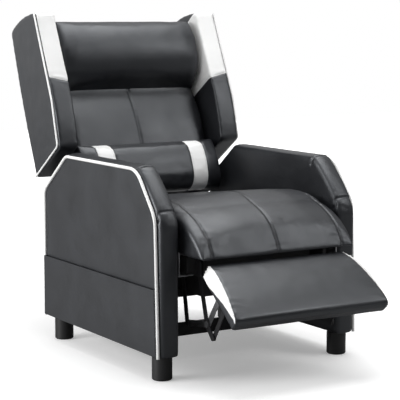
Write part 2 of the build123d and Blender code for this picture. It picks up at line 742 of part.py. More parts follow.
def seat_springs():
    plane = Plane.XY.offset(SEAT_RAIL_TOP_Z - SPRING_DROP)
    with BuildPart() as piece:
        for number in range(SPRING_COUNT):
            x = (number - (SPRING_COUNT - 1) / 2) * SPRING_SPACING
            with BuildLine(plane) as route:
                FilletPolyline(*spring_route(x), radius=SPRING_BEND)
            with BuildSketch(Plane(route.line @ 0, z_dir=route.line % 0)):
                RegularPolygon(SPRING_WIRE_RADIUS, SPRING_WIRE_FACES)
            sweep(path=route.line)
    return piece


def seat_cushion():
    return stuffed_piece(
        side_view,
        -SEAT_NOSE_OVERHANG,
        SEAT_NOSE_OVERHANG + SEAT_REAR_Y,
        SEAT_RAIL_TOP_Z + SEAT_FIT,
        SEAT_CROWN_HEIGHT,
        ARM_INNER_X - SEAT_SIDE_GAP,
        SEAT_EDGE_SHARE,
        SEAT_PROFILE_SHARES,
    )


# Footrest linkage
def rear_link(side):
    with BuildPart() as piece:
        with BuildSketch(side_view(side * SWING_LINK_X)):
            bar_outline([REAR_PIVOT, REAR_KNEE], LINK_RADIUS)
            with Locations(REAR_PIVOT):
                Circle(PIVOT_RADIUS + PIN_FIT, mode=Mode.SUBTRACT)
        extrude(amount=side * SHEET)
        add(stud(side, [REAR_KNEE], SWING_LINK_X, PIVOT_RADIUS, COLLAR_RADIUS, RIVET_HEAD_RADIUS))
    return piece


def front_link(side):
    with BuildPart() as piece:
        with BuildSketch(side_view(side * SWING_LINK_X)):
            bar_outline([FRONT_PIVOT, FRONT_KNEE, FRONT_TOE], LINK_RADIUS)
            with Locations(FRONT_KNEE):
                Circle(SLIDE_EYE_RADIUS)
                Circle(OPEN_PIN_RADIUS + SLIDE_PLAY, mode=Mode.SUBTRACT)
            with Locations(FRONT_PIVOT):
                Circle(PIVOT_RADIUS + PIN_FIT, mode=Mode.SUBTRACT)
        extrude(amount=side * SHEET)
        add(stud(side, [FRONT_TOE], SWING_LINK_X, PIVOT_RADIUS, COLLAR_RADIUS, RIVET_HEAD_RADIUS))
    return piece


def footrest_link(side):
    """The bright bent link; its middle pin rides in the enlarged eye of the front link."""
    head_start = LINK_GAP + SHEET + SEAT_FIT
    with BuildPart() as piece:
        with BuildSketch(side_view(side * CROSS_LINK_X)):
            bar_outline([REAR_KNEE, FRONT_KNEE, BRACKET_PIVOT], LINK_RADIUS)
            with Locations(REAR_KNEE):
                Circle(PIVOT_RADIUS + PIN_FIT, mode=Mode.SUBTRACT)
        extrude(amount=side * SHEET)
        with BuildSketch(side_view(side * (CROSS_LINK_X + SHEET))):
            with Locations(FRONT_KNEE):
                Circle(OPEN_PIN_RADIUS)
        extrude(amount=side * (head_start + HEAD_THICKNESS))
        with BuildSketch(side_view(side * (CROSS_LINK_X + SHEET + head_start))):
            with Locations(FRONT_KNEE):
                Circle(SLIDE_HEAD_RADIUS)
        extrude(amount=side * HEAD_THICKNESS)
        add(stud(side, [BRACKET_PIVOT], CROSS_LINK_X, PIVOT_RADIUS, COLLAR_RADIUS, RIVET_HEAD_RADIUS))
    return piece


def control_links():
    with BuildPart() as piece:
        for side in SIDES.values():
            with BuildSketch(side_view(side * CROSS_LINK_X)):
                bar_outline([FRONT_TOE, CONTROL_PIVOT], LINK_WAIST)
                with Locations(FRONT_TOE, CONTROL_PIVOT):
                    Circle(LINK_RADIUS)
                with Locations(FRONT_TOE):
                    Circle(PIVOT_RADIUS + PIN_FIT, mode=Mode.SUBTRACT)
            extrude(amount=side * SHEET)
            add(stud(side, [CONTROL_PIVOT], CROSS_LINK_X, OPEN_PIN_RADIUS, COLLAR_RADIUS, RIVET_HEAD_RADIUS))
    return piece


def footrest_bracket(side):
    """An angle bracket: a flat foot under the board and a flange with the two pivot holes."""
    pivot = on_footrest(BRACKET_PIVOT)
    control = on_footrest(CONTROL_PIVOT)
    with BuildPart() as piece:
        with BuildSketch(footrest_side(side * BRACKET_X)):
            with BuildLine():
                Polyline(
                    (BRACKET_START, 0),
                    (pivot[0] - LINK_RADIUS, pivot[1]),
                    (control[0] + LINK_RADIUS, control[1]),
                    (BRACKET_END, SHEET),
                    (BRACKET_END, 0),
                    close=True,
                )
            make_face()
            with Locations(pivot, control):
                Circle(LINK_RADIUS)
                Circle(PIVOT_RADIUS + PIN_FIT, mode=Mode.SUBTRACT)
            with Locations(control):
                Circle(OPEN_PIN_RADIUS + CONTROL_PLAY, mode=Mode.SUBTRACT)
        extrude(amount=side * SHEET)
        with BuildSketch(footrest_side(side * (BRACKET_X - BRACKET_FOOT))):
            with Locations(((BRACKET_START + BRACKET_END) / 2, SHEET / 2)):
                Rectangle(BRACKET_END - BRACKET_START, SHEET)
        extrude(amount=side * (BRACKET_FOOT + SHEET))
    return piece


def footrest_board():
    with BuildPart() as piece:
        with BuildSketch(footrest_section(FOOTREST_BOARD_START)):
            with Locations((0, FOOTREST_BOARD_THICKNESS / 2)):
                Rectangle(2 * FOOTREST_BOARD_HALF_WIDTH, FOOTREST_BOARD_THICKNESS)
        extrude(amount=FOOTREST_BOARD_END - FOOTREST_BOARD_START)
    return piece


def footrest_half_width(share):
    return FOOTREST_TOP_HALF_WIDTH + (FOOTREST_FOOT_HALF_WIDTH - FOOTREST_TOP_HALF_WIDTH) * share


def footrest_form():
    """The whole stuffed footrest, before its white corners and its board are parted off."""
    form = stuffed_piece(
        footrest_profile,
        -FOOTREST_LIP,
        FOOTREST_LENGTH + FOOTREST_LIP,
        0,
        FOOTREST_THICKNESS,
        FOOTREST_TOP_HALF_WIDTH,
        FOOTREST_EDGE_SHARE,
        FOOTREST_PROFILE_SHARES,
    )
    return form.part


def corner_stations():
    """Down the footrest: place, half width and thickness, and how much of the corner is left."""
    span = FOOTREST_LENGTH + FOOTREST_LIP
    for along, depth in FOOTREST_PROFILE_SHARES[:5]:
        yield span * along - FOOTREST_LIP, footrest_half_width(along), FOOTREST_THICKNESS * depth, 1 - along
    yield FOOTREST_LENGTH + OVERRUN, FOOTREST_FOOT_HALF_WIDTH, FOOTREST_THICKNESS, LEAST_CORNER_SHARE


def corner_space(side, skin):
    """The space outside the slanted front corner of the footrest, moved inward by a skin."""
    over = FOOTREST_THICKNESS + OVERRUN
    with BuildPart() as space:
        for along, half_width, thickness, size in corner_stations():
            outer = half_width - skin
            with BuildSketch(footrest_section(along)):
                with BuildLine():
                    Polyline(
                        (side * (outer - GUSSET_REACH * size - OVERRUN), over + OVERRUN),
                        (side * (outer - GUSSET_REACH * size - OVERRUN), thickness + OVERRUN / 2),
                        (side * (outer - GUSSET_REACH * size), thickness),
                        (side * outer, thickness - GUSSET_DEPTH * size),
                        (side * outer, -over),
                        (side * (outer + over), -over),
                        (side * (outer + over), over + OVERRUN),
                        close=True,
                    )
                make_face()
        loft(ruled=True)
    return space.part


def footrest_gussets():
    with BuildPart() as piece:
        for side in SIDES.values():
            with BuildPart(mode=Mode.PRIVATE) as gusset:
                add(footrest_form())
                add(corner_space(side, 0), mode=Mode.SUBTRACT)
                add(corner_space(side, GUSSET_SKIN), mode=Mode.INTERSECT)
            add(gusset.part)
    return piece


def footrest_pad():
    room = SEAT_FIT
    with BuildPart() as piece:
        add(footrest_form())
        for side in SIDES.values():
            add(corner_space(side, GUSSET_SKIN), mode=Mode.SUBTRACT)
        with BuildSketch(footrest_section(FOOTREST_BOARD_START - room)):
            with Locations((0, (FOOTREST_BOARD_THICKNESS + room - OVERRUN) / 2)):
                Rectangle(2 * (FOOTREST_BOARD_HALF_WIDTH + room), FOOTREST_BOARD_THICKNESS + room + OVERRUN)
        extrude(amount=FOOTREST_BOARD_END - FOOTREST_BOARD_START + 2 * room, mode=Mode.SUBTRACT)
    return piece


# Back
def back_post(side):
    middle = ((POST_REAR - POST_DEPTH / 2), (POST_FOOT + BACK_LENGTH) / 2)
    with BuildPart() as piece:
        with BuildSketch(back_side(side * (HINGE_PLATE_X - POST_WIDTH))):
            with Locations(middle):
                RectangleRounded(POST_DEPTH, BACK_LENGTH - POST_FOOT, BOARD_ROUND)
        extrude(amount=side * POST_WIDTH)
        with BuildSketch(back_side(side * HINGE_PLATE_X)):
            with Locations(*hinge_plate_bolt_places()):
                Circle(BOLT_RADIUS + PIN_FIT)
        extrude(amount=-side * BOLT_LENGTH, mode=Mode.SUBTRACT)
    return piece


def back_rails():
    half_length = WING_INNER_X - SEAT_FIT
    front = 2 * POST_DEPTH - POST_REAR
    with BuildPart() as piece:
        for foot in (LOWER_BACK_RAIL_FOOT, BACK_LENGTH - BACK_RAIL_HEIGHT):
            with BuildSketch(back_face(front)):
                with Locations((0, foot + BACK_RAIL_HEIGHT / 2)):
                    RectangleRounded(2 * half_length, BACK_RAIL_HEIGHT, BOARD_ROUND)
            extrude(amount=-POST_DEPTH)
    return piece


def hinge_plate_bolt_places():
    rear = POST_REAR - POST_DEPTH / 2
    return [(rear, HINGE_PLATE_LENGTH * share) for share in HINGE_BOLT_SHARES]


def back_hinge_plate(side):
    rear = POST_REAR - POST_DEPTH / 2
    with BuildPart() as piece:
        with BuildSketch(back_side(side * HINGE_PLATE_X)):
            bar_outline([(0, 0), (rear, POST_FOOT / 2), (rear, HINGE_PLATE_LENGTH)], POST_DEPTH / 2)
            Circle(PLATE_EAR_RADIUS)
            Circle(HINGE_PIN_RADIUS + PIN_FIT, mode=Mode.SUBTRACT)
            with Locations(*hinge_plate_bolt_places()):
                Circle(BOLT_RADIUS + PIN_FIT, mode=Mode.SUBTRACT)
        extrude(amount=side * SHEET)
    return piece


def hinge_plate_bolts():
    with BuildPart() as piece:
        for side in SIDES.values():
            with BuildSketch(back_side(side * (HINGE_PLATE_X + SHEET))):
                with Locations(*hinge_plate_bolt_places()):
                    Circle(BOLT_RADIUS)
            extrude(amount=-side * BOLT_LENGTH)
            with BuildSketch(back_side(side * (HINGE_PLATE_X + SHEET))):
                with Locations(*hinge_plate_bolt_places()):
                    Circle(BOLT_HEAD_RADIUS)
            extrude(amount=side * HEAD_THICKNESS)
    return piece


def back_cushion():
    base = 2 * POST_DEPTH - POST_REAR + SEAT_FIT
    return stuffed_piece(
        back_profile,
        BACK_CUSHION_FOOT,
        BACK_LENGTH - BACK_CUSHION_FOOT,
        base,
        BACK_CUSHION_FRONT - base,
        WING_INNER_X - SEAT_FIT,
        BACK_EDGE_SHARE,
        BACK_PROFILE_SHARES,
    )


def head_cushion():
    base = HEAD_CUSHION_SEAT + SEAT_FIT
    return stuffed_piece(
        back_profile,
        HEAD_CUSHION_FOOT,
        BACK_LENGTH - HEAD_CUSHION_FOOT,
        base,
        HEAD_CUSHION_FRONT - base,
        WING_INNER_X - HEAD_SIDE_GAP,
        HEAD_EDGE_SHARE,
        HEAD_PROFILE_SHARES,
    )


def lumbar_cushion():
    base = BACK_CUSHION_FRONT + SEAT_FIT
    return stuffed_piece(
        back_profile,
        LUMBAR_FOOT,
        LUMBAR_HEAD - LUMBAR_FOOT,
        base,
        LUMBAR_FRONT - base,
        WING_INNER_X - HEAD_SIDE_GAP,
        LUMBAR_EDGE_SHARE,
        LUMBAR_PROFILE_SHARES,
    )


def rear_cover():
    half_width = WING_INNER_X - SEAT_FIT
    with BuildPart() as piece:
        with BuildSketch(back_face(-POST_REAR)):
            with Locations((0, (POST_FOOT + BACK_LENGTH) / 2)):
                RectangleRounded(2 * half_width, BACK_LENGTH - POST_FOOT, PLATE_EAR_RADIUS)
        extrude(amount=-REAR_COVER_THICKNESS)
    return piece


# Wings
def wing_front_route():
    """Front edge of a wing, from its lower kink up to its top corner."""
    waist = WING_KINK + (WING_TOP - WING_KINK) * WING_WAIST_SHARE
    chest = WING_KINK + (WING_TOP - WING_KINK) * WING_CHEST_SHARE
    Spline(
        (-WING_KINK_FRONT, WING_KINK),
        (-WING_FRONT, waist),
        (-WING_FRONT * WING_CHEST_FRONT_SHARE, chest),
        (-WING_TOP_FRONT, WING_TOP),
    )


def wing_rest_route():
    """The rest of the wing's outline: over the top, down the rear and along the sloping foot."""
    middle = (WING_TOP_REAR_HEIGHT + WING_HEEL) / 2
    ThreePointArc(
        (-WING_TOP_FRONT, WING_TOP),
        (-WING_RIDGE_FRONT, WING_RIDGE),
        (WING_TOP_REAR, WING_TOP_REAR_HEIGHT),
    )
    ThreePointArc((WING_TOP_REAR, WING_TOP_REAR_HEIGHT), (WING_REAR, middle), (WING_HEEL_REAR, WING_HEEL))
    lip = (-WING_KINK_FRONT * WING_LIP_FRONT_SHARE, WING_KINK * WING_LIP_HEIGHT_SHARE)
    Polyline((WING_HEEL_REAR, WING_HEEL), lip, (-WING_KINK_FRONT, WING_KINK))


def facing_outline():
    """The front strip of a wing above the seam."""
    with BuildSketch(mode=Mode.PRIVATE) as strip:
        with BuildLine():
            wing_front_route()
            wing_rest_route()
        make_face()
        with Locations((FACING_DEPTH, 0)):
            add(strip.sketch, mode=Mode.SUBTRACT)
        with Locations((0, FACING_FOOT)):
            Rectangle(4 * WING_FRONT, 4 * WING_FRONT, align=(Align.CENTER, Align.MAX), mode=Mode.SUBTRACT)
        with Locations((WING_REAR - WING_TOP_FRONT / 2, 0)):
            Rectangle(2 * WING_REAR, 2 * WING_RIDGE, align=(Align.MIN, Align.CENTER), mode=Mode.SUBTRACT)
    return strip.sketch_local


def wing(side):
    with BuildPart() as piece:
        with BuildSketch(back_side(side * WING_INNER_X)):
            with BuildLine():
                wing_front_route()
                wing_rest_route()
            make_face()
            add(facing_outline(), mode=Mode.SUBTRACT)
        extrude(amount=side * WING_THICKNESS)
    return piece


def wing_facing(side):
    with BuildPart() as piece:
        with BuildSketch(back_side(side * WING_INNER_X)):
            add(facing_outline())
        extrude(amount=side * WING_THICKNESS)
    return piece


def wing_piping():
    """Piping round the outer front corner of each wing and back along its foot."""
    inset = 2 * WING_PIPING_RADIUS
    piping_x = WING_INNER_X + WING_THICKNESS + SEAT_FIT + WING_PIPING_RADIUS
    with BuildPart() as piece:
        for side in SIDES.values():
            with BuildLine(back_side(side * piping_x)) as route:
                FilletPolyline(
                    (inset - WING_TOP_FRONT, WING_TOP),
                    (inset - WING_FRONT, (WING_TOP + 2 * WING_KINK) / 3),
                    (inset - WING_KINK_FRONT, WING_KINK + inset / 2),
                    (WING_HEEL_REAR - inset, WING_HEEL + inset),
                    radius=[WING_FRONT, WING_KINK_FRONT / 8],
                )
            with BuildSketch(Plane(route.line @ 0, z_dir=route.line % 0)):
                Circle(WING_PIPING_RADIUS)
            sweep(path=route.line)
    return piece


def main():
    for y, end, word, side in leg_places():
        save(leg(side, y), f"leg_{end}_{word}")
    save(leg_plates(), "leg_plates")
    paired = {
        "arm_core": arm_core,
        "arm_top_pad": arm_top_pad,
        "arm_front_pad": arm_front_pad,
        "arm_front_panel": arm_front_panel,
        "arm_side_panel": arm_side_panel,
        "arm_pocket": arm_pocket,
        "side_rail": side_rail,
        "mechanism_plate": mechanism_plate,
        "seat_side_board": seat_side_board,
        "rear_link": rear_link,
        "front_link": front_link,
        "footrest_link": footrest_link,
        "footrest_bracket": footrest_bracket,
        "back_post": back_post,
        "back_hinge_plate": back_hinge_plate,
        "wing": wing,
        "wing_facing": wing_facing,
    }
    for name, make in paired.items():
        for word, side in SIDES.items():
            save(make(side), f"{name}_{word}")
    single = {
        "arm_piping": arm_piping,
        "arm_brackets": arm_brackets,
        "mechanism_bolts": mechanism_bolts,
        "seat_brackets": seat_brackets,
        "seat_springs": seat_springs,
        "seat_cushion": seat_cushion,
        "control_links": control_links,
        "footrest_board": footrest_board,
        "footrest_pad": footrest_pad,
        "footrest_gussets": footrest_gussets,
        "back_rails": back_rails,
        "hinge_plate_bolts": hinge_plate_bolts,
        "back_cushion": back_cushion,
        "head_cushion": head_cushion,
        "lumbar_cushion": lumbar_cushion,
        "rear_cover": rear_cover,
        "wing_piping": wing_piping,
    }
    for name, make in single.items():
        save(make(), name)
    save(seat_end_board(SEAT_BOX_FRONT_Y), "seat_front_board")
    save(seat_end_board(SEAT_BOX_REAR_Y - SEAT_BOARD), "seat_rear_board")
    save(
        cross_board(
            ARM_INNER_X,
            FRONT_CROSS_RAIL_Y,
            FRONT_CROSS_RAIL_Y + RAIL_THICKNESS,
            FRONT_CROSS_RAIL_Z,
            FRONT_CROSS_RAIL_Z + FRONT_CROSS_RAIL_HEIGHT,
        ),
        "front_cross_rail",
    )
    rear_rail_y = ARM_DEPTH - REAR_CROSS_RAIL_INSET
    save(
        cross_board(
            ARM_INNER_X,
            rear_rail_y - RAIL_THICKNESS,
            rear_rail_y,
            FRONT_CROSS_RAIL_Z,
            FRONT_CROSS_RAIL_Z + REAR_CROSS_RAIL_HEIGHT,
        ),
        "rear_cross_rail",
    )


main()
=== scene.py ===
import json
from math import cos, radians, sin

import bpy
import numpy as np
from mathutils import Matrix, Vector, noise
from mathutils.bvhtree import BVHTree


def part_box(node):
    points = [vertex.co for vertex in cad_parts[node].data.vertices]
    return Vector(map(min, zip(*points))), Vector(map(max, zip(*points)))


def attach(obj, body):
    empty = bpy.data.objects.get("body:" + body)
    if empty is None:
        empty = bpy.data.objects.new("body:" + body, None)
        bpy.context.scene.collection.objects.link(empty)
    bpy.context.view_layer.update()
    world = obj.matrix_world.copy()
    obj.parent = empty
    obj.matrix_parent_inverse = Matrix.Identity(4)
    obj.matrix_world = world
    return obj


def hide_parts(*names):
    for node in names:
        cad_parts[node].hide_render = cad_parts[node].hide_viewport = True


# A gaming recliner in black and white leatherette on a steel footrest linkage.
# Metres, +Z up, the chair faces -Y; places are given from the arm front, as in the part.

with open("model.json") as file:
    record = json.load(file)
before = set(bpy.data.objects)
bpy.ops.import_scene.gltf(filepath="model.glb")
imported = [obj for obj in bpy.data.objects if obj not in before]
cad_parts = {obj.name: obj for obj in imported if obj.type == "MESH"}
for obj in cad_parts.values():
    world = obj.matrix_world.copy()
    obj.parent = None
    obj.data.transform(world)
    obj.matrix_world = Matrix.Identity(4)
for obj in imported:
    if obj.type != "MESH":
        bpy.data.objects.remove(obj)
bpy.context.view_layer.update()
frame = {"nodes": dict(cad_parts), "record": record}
scene = bpy.context.scene

ARM_FRONT = -0.3578
SIDES = {"right": -1, "left": 1}
HINGE = (ARM_FRONT + 0.690, 0.400)
LEAN = radians(20)

# Wings: heights are up the back from the hinge, fronts are in front of it
WING_OUTER = 0.330
WING_THICKNESS = 0.067
WING_SEAM = 0.402
WING_SEAM_DIP = 0.016
WING_SEAM_FRONT = 0.12
WING_SEAM_SLOPE = 0.25
WING_SEAM_OUTER = 0.326
WHITE_TOP = 0.628
WHITE_TOP_FRONT = 0.123
WHITE_TOP_SLOPE = 0.33
WHITE_OUTER = 0.3275
WHITE_REAR = -0.03

# Cushions
SEAT_SEAM = 0.222
SEAT_MIDDLE_HEIGHT = 0.352
STITCH_OFFSET = 0.006
STRIPE_EDGES = (0.138, 0.195)
STRIPE_MIDDLE = 0.1665
STRIPE_HALF = 0.0285
FOOT_TOP = 0.10
FOOT_FADE = 0.06
TUCK_FRONT = 0.03
TUCK_FADE = 0.04

# Arms, across the chair
ARM_INNER = 0.2727
ARM_OUTER = 0.3345
ARM_MIDDLE = 0.304
ARM_HALF = 0.031
ARM_CROWN = 0.004

# Cloth simulation
CLOTH_FRAMES = 20
CLOTH_SHRINK = 0.004


# Selecting and editing
def only(obj):
    bpy.ops.object.select_all(action="DESELECT")
    obj.select_set(True)
    bpy.context.view_layer.objects.active = obj


def corners(obj):
    places = np.empty(len(obj.data.vertices) * 3)
    obj.data.vertices.foreach_get("co", places)
    return places.reshape(-1, 3)


def place_corners(obj, places):
    obj.data.vertices.foreach_set("co", np.ascontiguousarray(places).ravel())
    obj.data.update()


def outward(obj):
    normals = np.empty(len(obj.data.vertices) * 3)
    obj.data.vertices.foreach_get("normal", normals)
    return normals.reshape(-1, 3)


def finish_with(obj, kind, **settings):
    modifier = obj.modifiers.new(kind.title(), kind)
    for key, value in settings.items():
        setattr(modifier, key, value)
    only(obj)
    bpy.ops.object.modifier_apply(modifier=modifier.name)


def surface_of(mesh):
    return BVHTree.FromPolygons([v.co for v in mesh.vertices], [p.vertices for p in mesh.polygons])


def far_from(node, places):
    """How far each place is from the surface of a node of the part."""
    tree = surface_of(frame["nodes"][node].data)
    return np.array([tree.find_nearest(place)[3] for place in places])


# Stuffed leatherette pieces
def cover_form(name, nodes, voxel):
    """The closed form of one or more nodes of the part, in even small faces."""
    pieces = []
    for node in nodes:
        piece = bpy.data.objects.new(name, frame["nodes"][node].data.copy())
        scene.collection.objects.link(piece)
        pieces.append(piece)
    bpy.ops.object.select_all(action="DESELECT")
    for piece in pieces:
        piece.select_set(True)
    bpy.context.view_layer.objects.active = pieces[0]
    if len(pieces) > 1:
        bpy.ops.object.join()
    form = bpy.context.view_layer.objects.active
    form.data.materials.clear()
    bpy.ops.object.mode_set(mode="EDIT")
    bpy.ops.mesh.select_all(action="SELECT")
    bpy.ops.mesh.remove_doubles(threshold=0.00002)
    bpy.ops.object.mode_set(mode="OBJECT")
    form.data.remesh_voxel_size = voxel
    bpy.ops.object.voxel_remesh()
    return form


def blow_up(form, pressure, cap):
    """Fill the cover with air pressure, and let no point move further than the cap."""
    before = corners(form)
    place_corners(form, before - outward(form) * CLOTH_SHRINK)
    cloth = form.modifiers.new("Filling", "CLOTH")
    cloth.settings.quality = 4
    cloth.settings.mass = 0.3
    cloth.settings.use_pressure = True
    cloth.settings.uniform_pressure_force = pressure
    cloth.settings.effector_weights.gravity = 0
    cloth.point_cache.frame_start = 1
    cloth.point_cache.frame_end = CLOTH_FRAMES
    for number in range(1, CLOTH_FRAMES + 1):
        scene.frame_set(number)
    only(form)
    bpy.ops.object.modifier_apply(modifier=cloth.name)
    scene.frame_set(1)
    move = corners(form) - before
    reach = np.linalg.norm(move, axis=1, keepdims=True)
    place_corners(form, before + move * np.minimum(1, cap / np.maximum(reach, 1e-9)))


def hold_within(form, nodes, room):
    """Keep the form near its nodes: room is (lower, upper) growth on each axis."""
    low = np.min([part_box(node)[0] for node in nodes], axis=0) - np.array(room[0])
    high = np.max([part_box(node)[1] for node in nodes], axis=0) + np.array(room[1])
    place_corners(form, np.clip(corners(form), low, high))


def sew(form, seams, depth=0.003, width=0.0036, gather=0.00025, slack=0.0007):
    """Draw in the seams, with small gathers beside them and a soft unevenness all over."""
    places = corners(form)
    normals = outward(form)
    near = np.min([seam(places) for seam in seams], axis=0) if seams else np.full(len(places), 1.0)
    run = places[:, 1] + places[:, 2] * 0.8 + places[:, 0] * 0.3
    uneven = np.array(
        [noise.noise(Vector(place) * 13) + 0.5 * noise.noise(Vector(place) * 31) for place in places]
    )
    push = -depth * np.exp(-((near / width) ** 2))
    push += gather * np.sin(run * 190 + uneven * 5) * np.exp(-((near / 0.028) ** 2))
    push += slack * uneven
    place_corners(form, places + normals * push[:, None])


def between(first, second, reach):
    """Seam where the surfaces of two nodes of the part meet."""
    def distance(places):
        one = far_from(first, places)
        two = far_from(second, places)
        return np.where(np.minimum(one, two) < reach, np.abs(one - two), 1.0)
    return distance


def across(x, low=-1.0):
    """Seam in a plane at x, on both sides of the chair, above a height."""
    return lambda places: np.where(places[:, 2] > low, np.abs(np.abs(places[:, 0]) - x), 1.0)


def along_back(places):
    """How far each place lies up the back and in front of it, from the hinge."""
    rearward = places[:, 1] - HINGE[0]
    upward = places[:, 2] - HINGE[1]
    return rearward * sin(LEAN) + upward * cos(LEAN), upward * sin(LEAN) - rearward * cos(LEAN)


def above_wing_seam(places):
    """Metres above the curved seam between a wing's white and black panels."""
    height, forward = along_back(places)
    inward = np.clip((WING_OUTER - np.abs(places[:, 0])) / WING_THICKNESS, 0, 1)
    fall = WING_SEAM_SLOPE * np.maximum(0, WING_SEAM_FRONT - forward)
    return height - (WING_SEAM - WING_SEAM_DIP * inward - fall)


def wing_panel(places):
    """Metres into the white of a wing: its front inside the piping, and its inner side above the seam."""
    height, forward = along_back(places)
    high = WHITE_TOP - WHITE_TOP_SLOPE * np.maximum(0, WHITE_TOP_FRONT - forward)
    inside = WHITE_OUTER - np.abs(places[:, 0])
    return np.min([above_wing_seam(places), high - height, inside, forward - WHITE_REAR], axis=0)


def wing_seam(places):
    """Seam below the white panel, on the wing's front and inner side only."""
    inner = (np.abs(places[:, 0]) < WING_SEAM_OUTER) & (along_back(places)[1] > WHITE_REAR)
    return np.where(inner, np.abs(above_wing_seam(places)), 1.0)


def reach_down(form, amount):
    """Let the foot of a back cushion hang lower, fading out up the back."""
    places = corners(form)
    share = np.clip((FOOT_TOP - along_back(places)[0]) / FOOT_FADE, 0, 1) * amount
    places[:, 1] -= share * sin(LEAN)
    places[:, 2] -= share * cos(LEAN)
    place_corners(form, places)


def tuck_under(form, top, foot, amount):
    """Draw the lower front of a cushion back, so that it rolls under."""
    places = corners(form)
    height, forward = along_back(places)
    share = np.clip((top - height) / (top - foot), 0, 1) ** 2 * amount
    share *= np.clip((forward - TUCK_FRONT) / TUCK_FADE, 0, 1)
    places[:, 1] += share * cos(LEAN)
    places[:, 2] -= share * sin(LEAN)
    place_corners(form, places)


def write_panel(form, values):
    panel = form.data.attributes.new("panel", "FLOAT", "POINT")
    panel.data.foreach_set("value", values.astype(np.float32))


def stuffed(
    name, nodes, body, seams=(), voxel=0.0075, pressure=4.0, cap=0.008, room=None, rounds=5, fill=0.7,
    **sewing,
):
    """A cover over nodes of the part: remeshed, smoothed, blown up if it has pressure, and sewn."""
    form = cover_form(name, nodes, voxel)
    finish_with(form, "SMOOTH", factor=0.5, iterations=rounds)
    if pressure:
        blow_up(form, pressure, cap)
        finish_with(form, "SMOOTH", factor=0.5, iterations=3)
    if room:
        hold_within(form, nodes, room)
    finish_with(form, "SUBSURF", levels=1, render_levels=1)
    sew(form, seams, **sewing)
    only(form)
    bpy.ops.object.shade_smooth()
    form.name = name
    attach(form, body)
    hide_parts(*nodes)
    return form


# Sewing thread
def stitch_shape(radius, length):
    """One stitch of thread: a short round bar with drawn-in ends, along its own X."""
    bpy.ops.object.select_all(action="DESELECT")
    lying = (0, radians(90), 0)
    bpy.ops.mesh.primitive_cylinder_add(vertices=6, radius=radius, depth=length, rotation=lying)
    bar = bpy.context.active_object
    bpy.ops.object.transform_apply(rotation=True)
    bpy.ops.object.mode_set(mode="EDIT")
    bpy.ops.mesh.select_all(action="SELECT")
    bpy.ops.mesh.subdivide(number_cuts=1)
    bpy.ops.object.mode_set(mode="OBJECT")
    places = corners(bar)
    taper = 1 - 0.7 * (np.abs(places[:, 0]) > length * 0.4)
    places[:, 1:] *= taper[:, None]
    faces = [tuple(polygon.vertices) for polygon in bar.data.polygons]
    bpy.data.objects.remove(bar)
    return places, faces


def stitches(name, line, body, material, radius=0.0007, length=0.0052, pitch=0.0075):
    """Stitches along a line of (place, outward normal) pairs."""
    shape, shape_faces = stitch_shape(radius, length)
    places, faces = [], []
    travelled = 0.0
    for (here, normal), (there, ignored) in zip(line, line[1:]):
        travelled += (there - here).length
        if travelled < pitch:
            continue
        travelled = 0.0
        along = (there - here).normalized()
        side = normal.cross(along).normalized()
        turn = np.array([along, side, along.cross(side)])
        start = len(places) * len(shape)
        places.append(shape @ turn + np.array(there))
        faces += [tuple(start + corner for corner in face) for face in shape_faces]
    mesh = bpy.data.meshes.new(name)
    mesh.from_pydata(np.concatenate(places).tolist(), [], faces)
    thread = bpy.data.objects.new(name, mesh)
    scene.collection.objects.link(thread)
    only(thread)
    bpy.ops.object.shade_smooth()
    mesh.materials.append(material)
    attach(thread, body)
    return thread


def welt(name, line, body, material, radius=0.0011):
    """A sewn-in cord along a line of (place, outward normal) pairs."""
    curve = bpy.data.curves.new(name, "CURVE")
    curve.dimensions = "3D"
    curve.bevel_depth = radius
    curve.bevel_resolution = 1
    run = curve.splines.new("POLY")
    kept = line[::3]
    run.points.add(len(kept) - 1)
    for point, (place, normal) in zip(run.points, kept):
        point.co = (*(place - normal * radius * 0.3), 1)
    cord = bpy.data.objects.new(name, curve)
    scene.collection.objects.link(cord)
    only(cord)
    bpy.ops.object.convert(target="MESH")
    bpy.ops.object.shade_smooth()
    cord.data.materials.append(material)
    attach(cord, body)
    return cord


def around(form, x, centre, first, last, count=420):
    """Line over a form's surface in a plane at x, seen from a centre in the side view."""
    tree = surface_of(form.data)
    line = []
    for number in range(count + 1):
        turn = radians(first + (last - first) * number / count)
        away = Vector((0, cos(turn), sin(turn)))
        start = Vector((x, centre[0], centre[1])) + away * 0.8
        place, normal, face, reach = tree.ray_cast(start, -away)
        if place is not None:
            line.append((place + normal * 0.0003, normal))
    return line


# Finishes
def make_group(name, inputs, outputs):
    tree = bpy.data.node_groups.new(name, "ShaderNodeTree")
    for word, value in inputs.items():
        socket = tree.interface.new_socket(word, in_out="INPUT", socket_type="NodeSocketFloat")
        socket.default_value = value
    for word in outputs:
        tree.interface.new_socket(word, in_out="OUTPUT", socket_type="NodeSocketFloat")
    return tree, tree.nodes.new("NodeGroupInput"), tree.nodes.new("NodeGroupOutput")


def add_node(tree, kind, values=(), **settings):
    made = tree.nodes.new("ShaderNode" + kind)
    for key, value in settings.items():
        setattr(made, key, value)
    for key, value in dict(values).items():
        if isinstance(value, bpy.types.NodeSocket):
            tree.links.new(value, made.inputs[key])
        else:
            made.inputs[key].default_value = value
    return made


